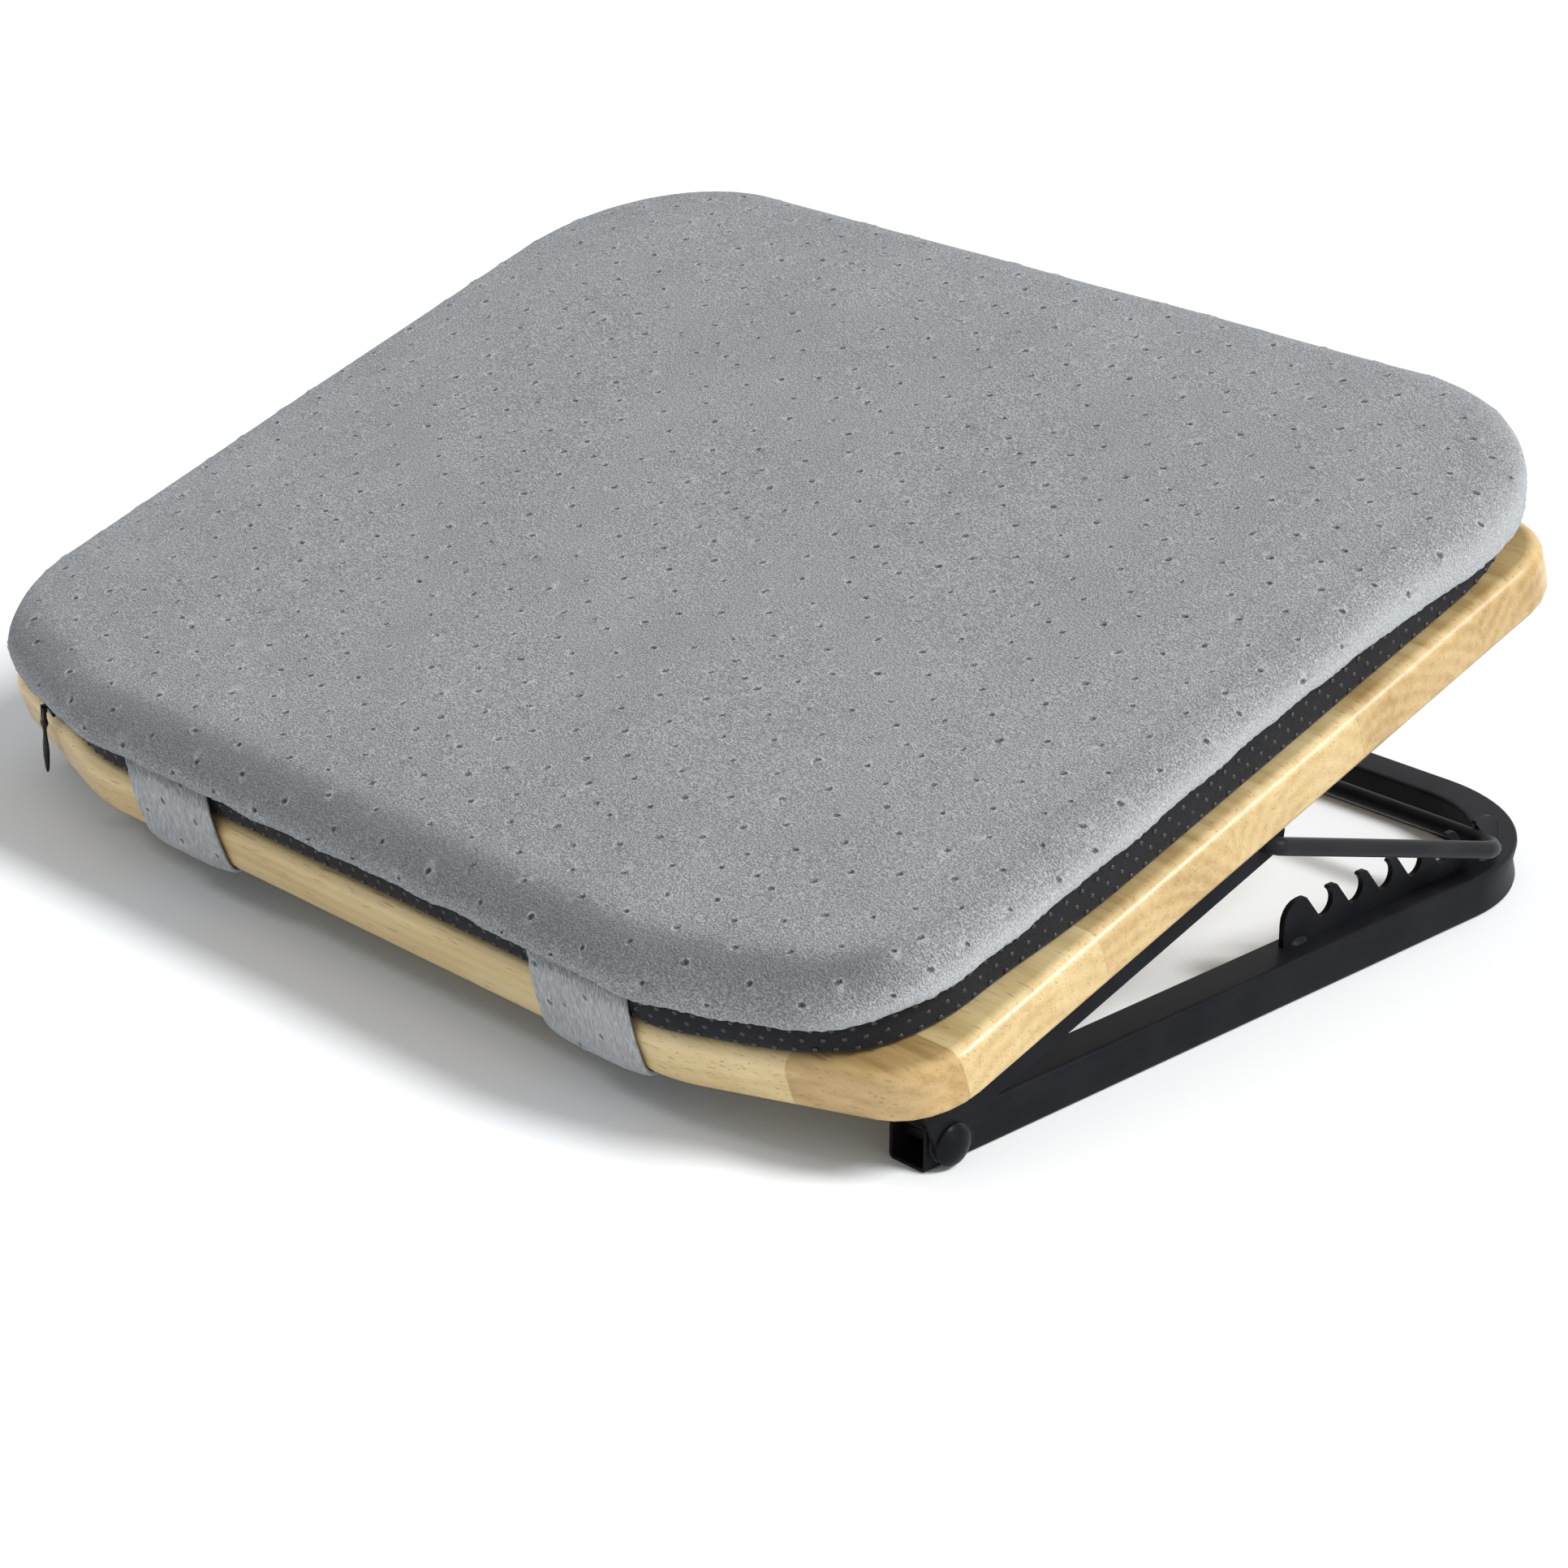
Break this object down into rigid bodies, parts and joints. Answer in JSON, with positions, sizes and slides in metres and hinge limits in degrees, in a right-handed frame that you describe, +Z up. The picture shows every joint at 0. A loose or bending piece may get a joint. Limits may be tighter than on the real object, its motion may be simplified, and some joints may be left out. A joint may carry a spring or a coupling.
{
  "type": "tilting footrest",
  "caption": "Tilting under-desk footrest: wooden board with a strapped velour cushion, hinged on a bent steel tube frame and held up by a wire prop in toothed racks.",
  "frame": {"origin": "on the floor under the middle of the rear beam of the tube frame", "axes": "+X across the board, from left to right of a seated user facing the raised edge; +Y from the low edge towards the raised edge; +Z up"},
  "size_m": [0.46, 0.3644, 0.1682],
  "materials": {
    "frame_steel": "satin black powder coat",
    "rail_steel": "satin black powder coat",
    "rod_steel": "satin black powder coat",
    "rivet_steel": "semi-gloss black",
    "zinc_steel": "zinc plated",
    "nylon": "matte black",
    "pale_wood": "clear satin lacquer over staves",
    "velour": "short-pile velour with small pits",
    "foam": "open-cell memory foam",
    "grip_fabric": "black knit with raised grip dots",
    "black_tape": "woven black tape",
    "zip_metal": "gloss black"
  },
  "bodies": {
    "base": {"base_tube": "frame_steel", "rack_left": "frame_steel", "rack_right": "frame_steel", "rack_weld_left_front": "frame_steel", "rack_weld_left_rear": "frame_steel", "rack_weld_right_front": "frame_steel", "rack_weld_right_rear": "frame_steel", "pivot_rivet_left": "rivet_steel", "pivot_rivet_right": "rivet_steel", "pivot_washer_left": "nylon", "pivot_washer_right": "nylon", "pivot_collar_left": "zinc_steel", "pivot_collar_right": "zinc_steel"},
    "board": {"board_panel": "pale_wood", "rail_left": "rail_steel", "rail_right": "rail_steel", "rail_screw_left_1": "zinc_steel", "rail_screw_left_2": "zinc_steel", "rail_screw_left_3": "zinc_steel", "rail_screw_right_1": "zinc_steel", "rail_screw_right_2": "zinc_steel", "rail_screw_right_3": "zinc_steel", "cushion_cover": "velour", "cushion_foam": "foam", "grip_base": "grip_fabric", "strap_left": "velour", "strap_right": "velour", "strap_patch_left": "black_tape", "strap_patch_right": "black_tape", "zipper_tape": "black_tape"},
    "prop": {"prop_rod": "rod_steel", "prop_clip_left": "zinc_steel", "prop_clip_right": "zinc_steel"},
    "slider": {"zipper_slider": "zip_metal"},
    "pull": {"zipper_pull": "zip_metal"}
  },
  "joints": [
    {"name": "board_tilt", "type": "hinge", "parent": "base", "child": "board", "pos_m": [0, -0.3015, 0.0082], "axis": [1, 0, 0], "range_deg": [0, 19]},
    {"name": "prop_swing", "type": "hinge", "parent": "board", "child": "prop", "pos_m": [0, -0.16603, 0.06232], "axis": [1, 0, 0], "range_deg": [-27.2, 0]},
    {"name": "zip_slide", "type": "slide", "parent": "board", "child": "slider", "axis": [-0.9628, 0.2567, 0.0844], "range_m": [0, 0.008]},
    {"name": "pull_swing", "type": "hinge", "parent": "slider", "child": "pull", "pos_m": [-0.18003, -0.34172, 0.03971], "axis": [0.959, -0.2834, 0], "range_deg": [-75, 6]}
  ],
  "couplings": [
    {"joint": "prop_swing", "follows": "board_tilt", "ratio": -1.42}
  ]
}
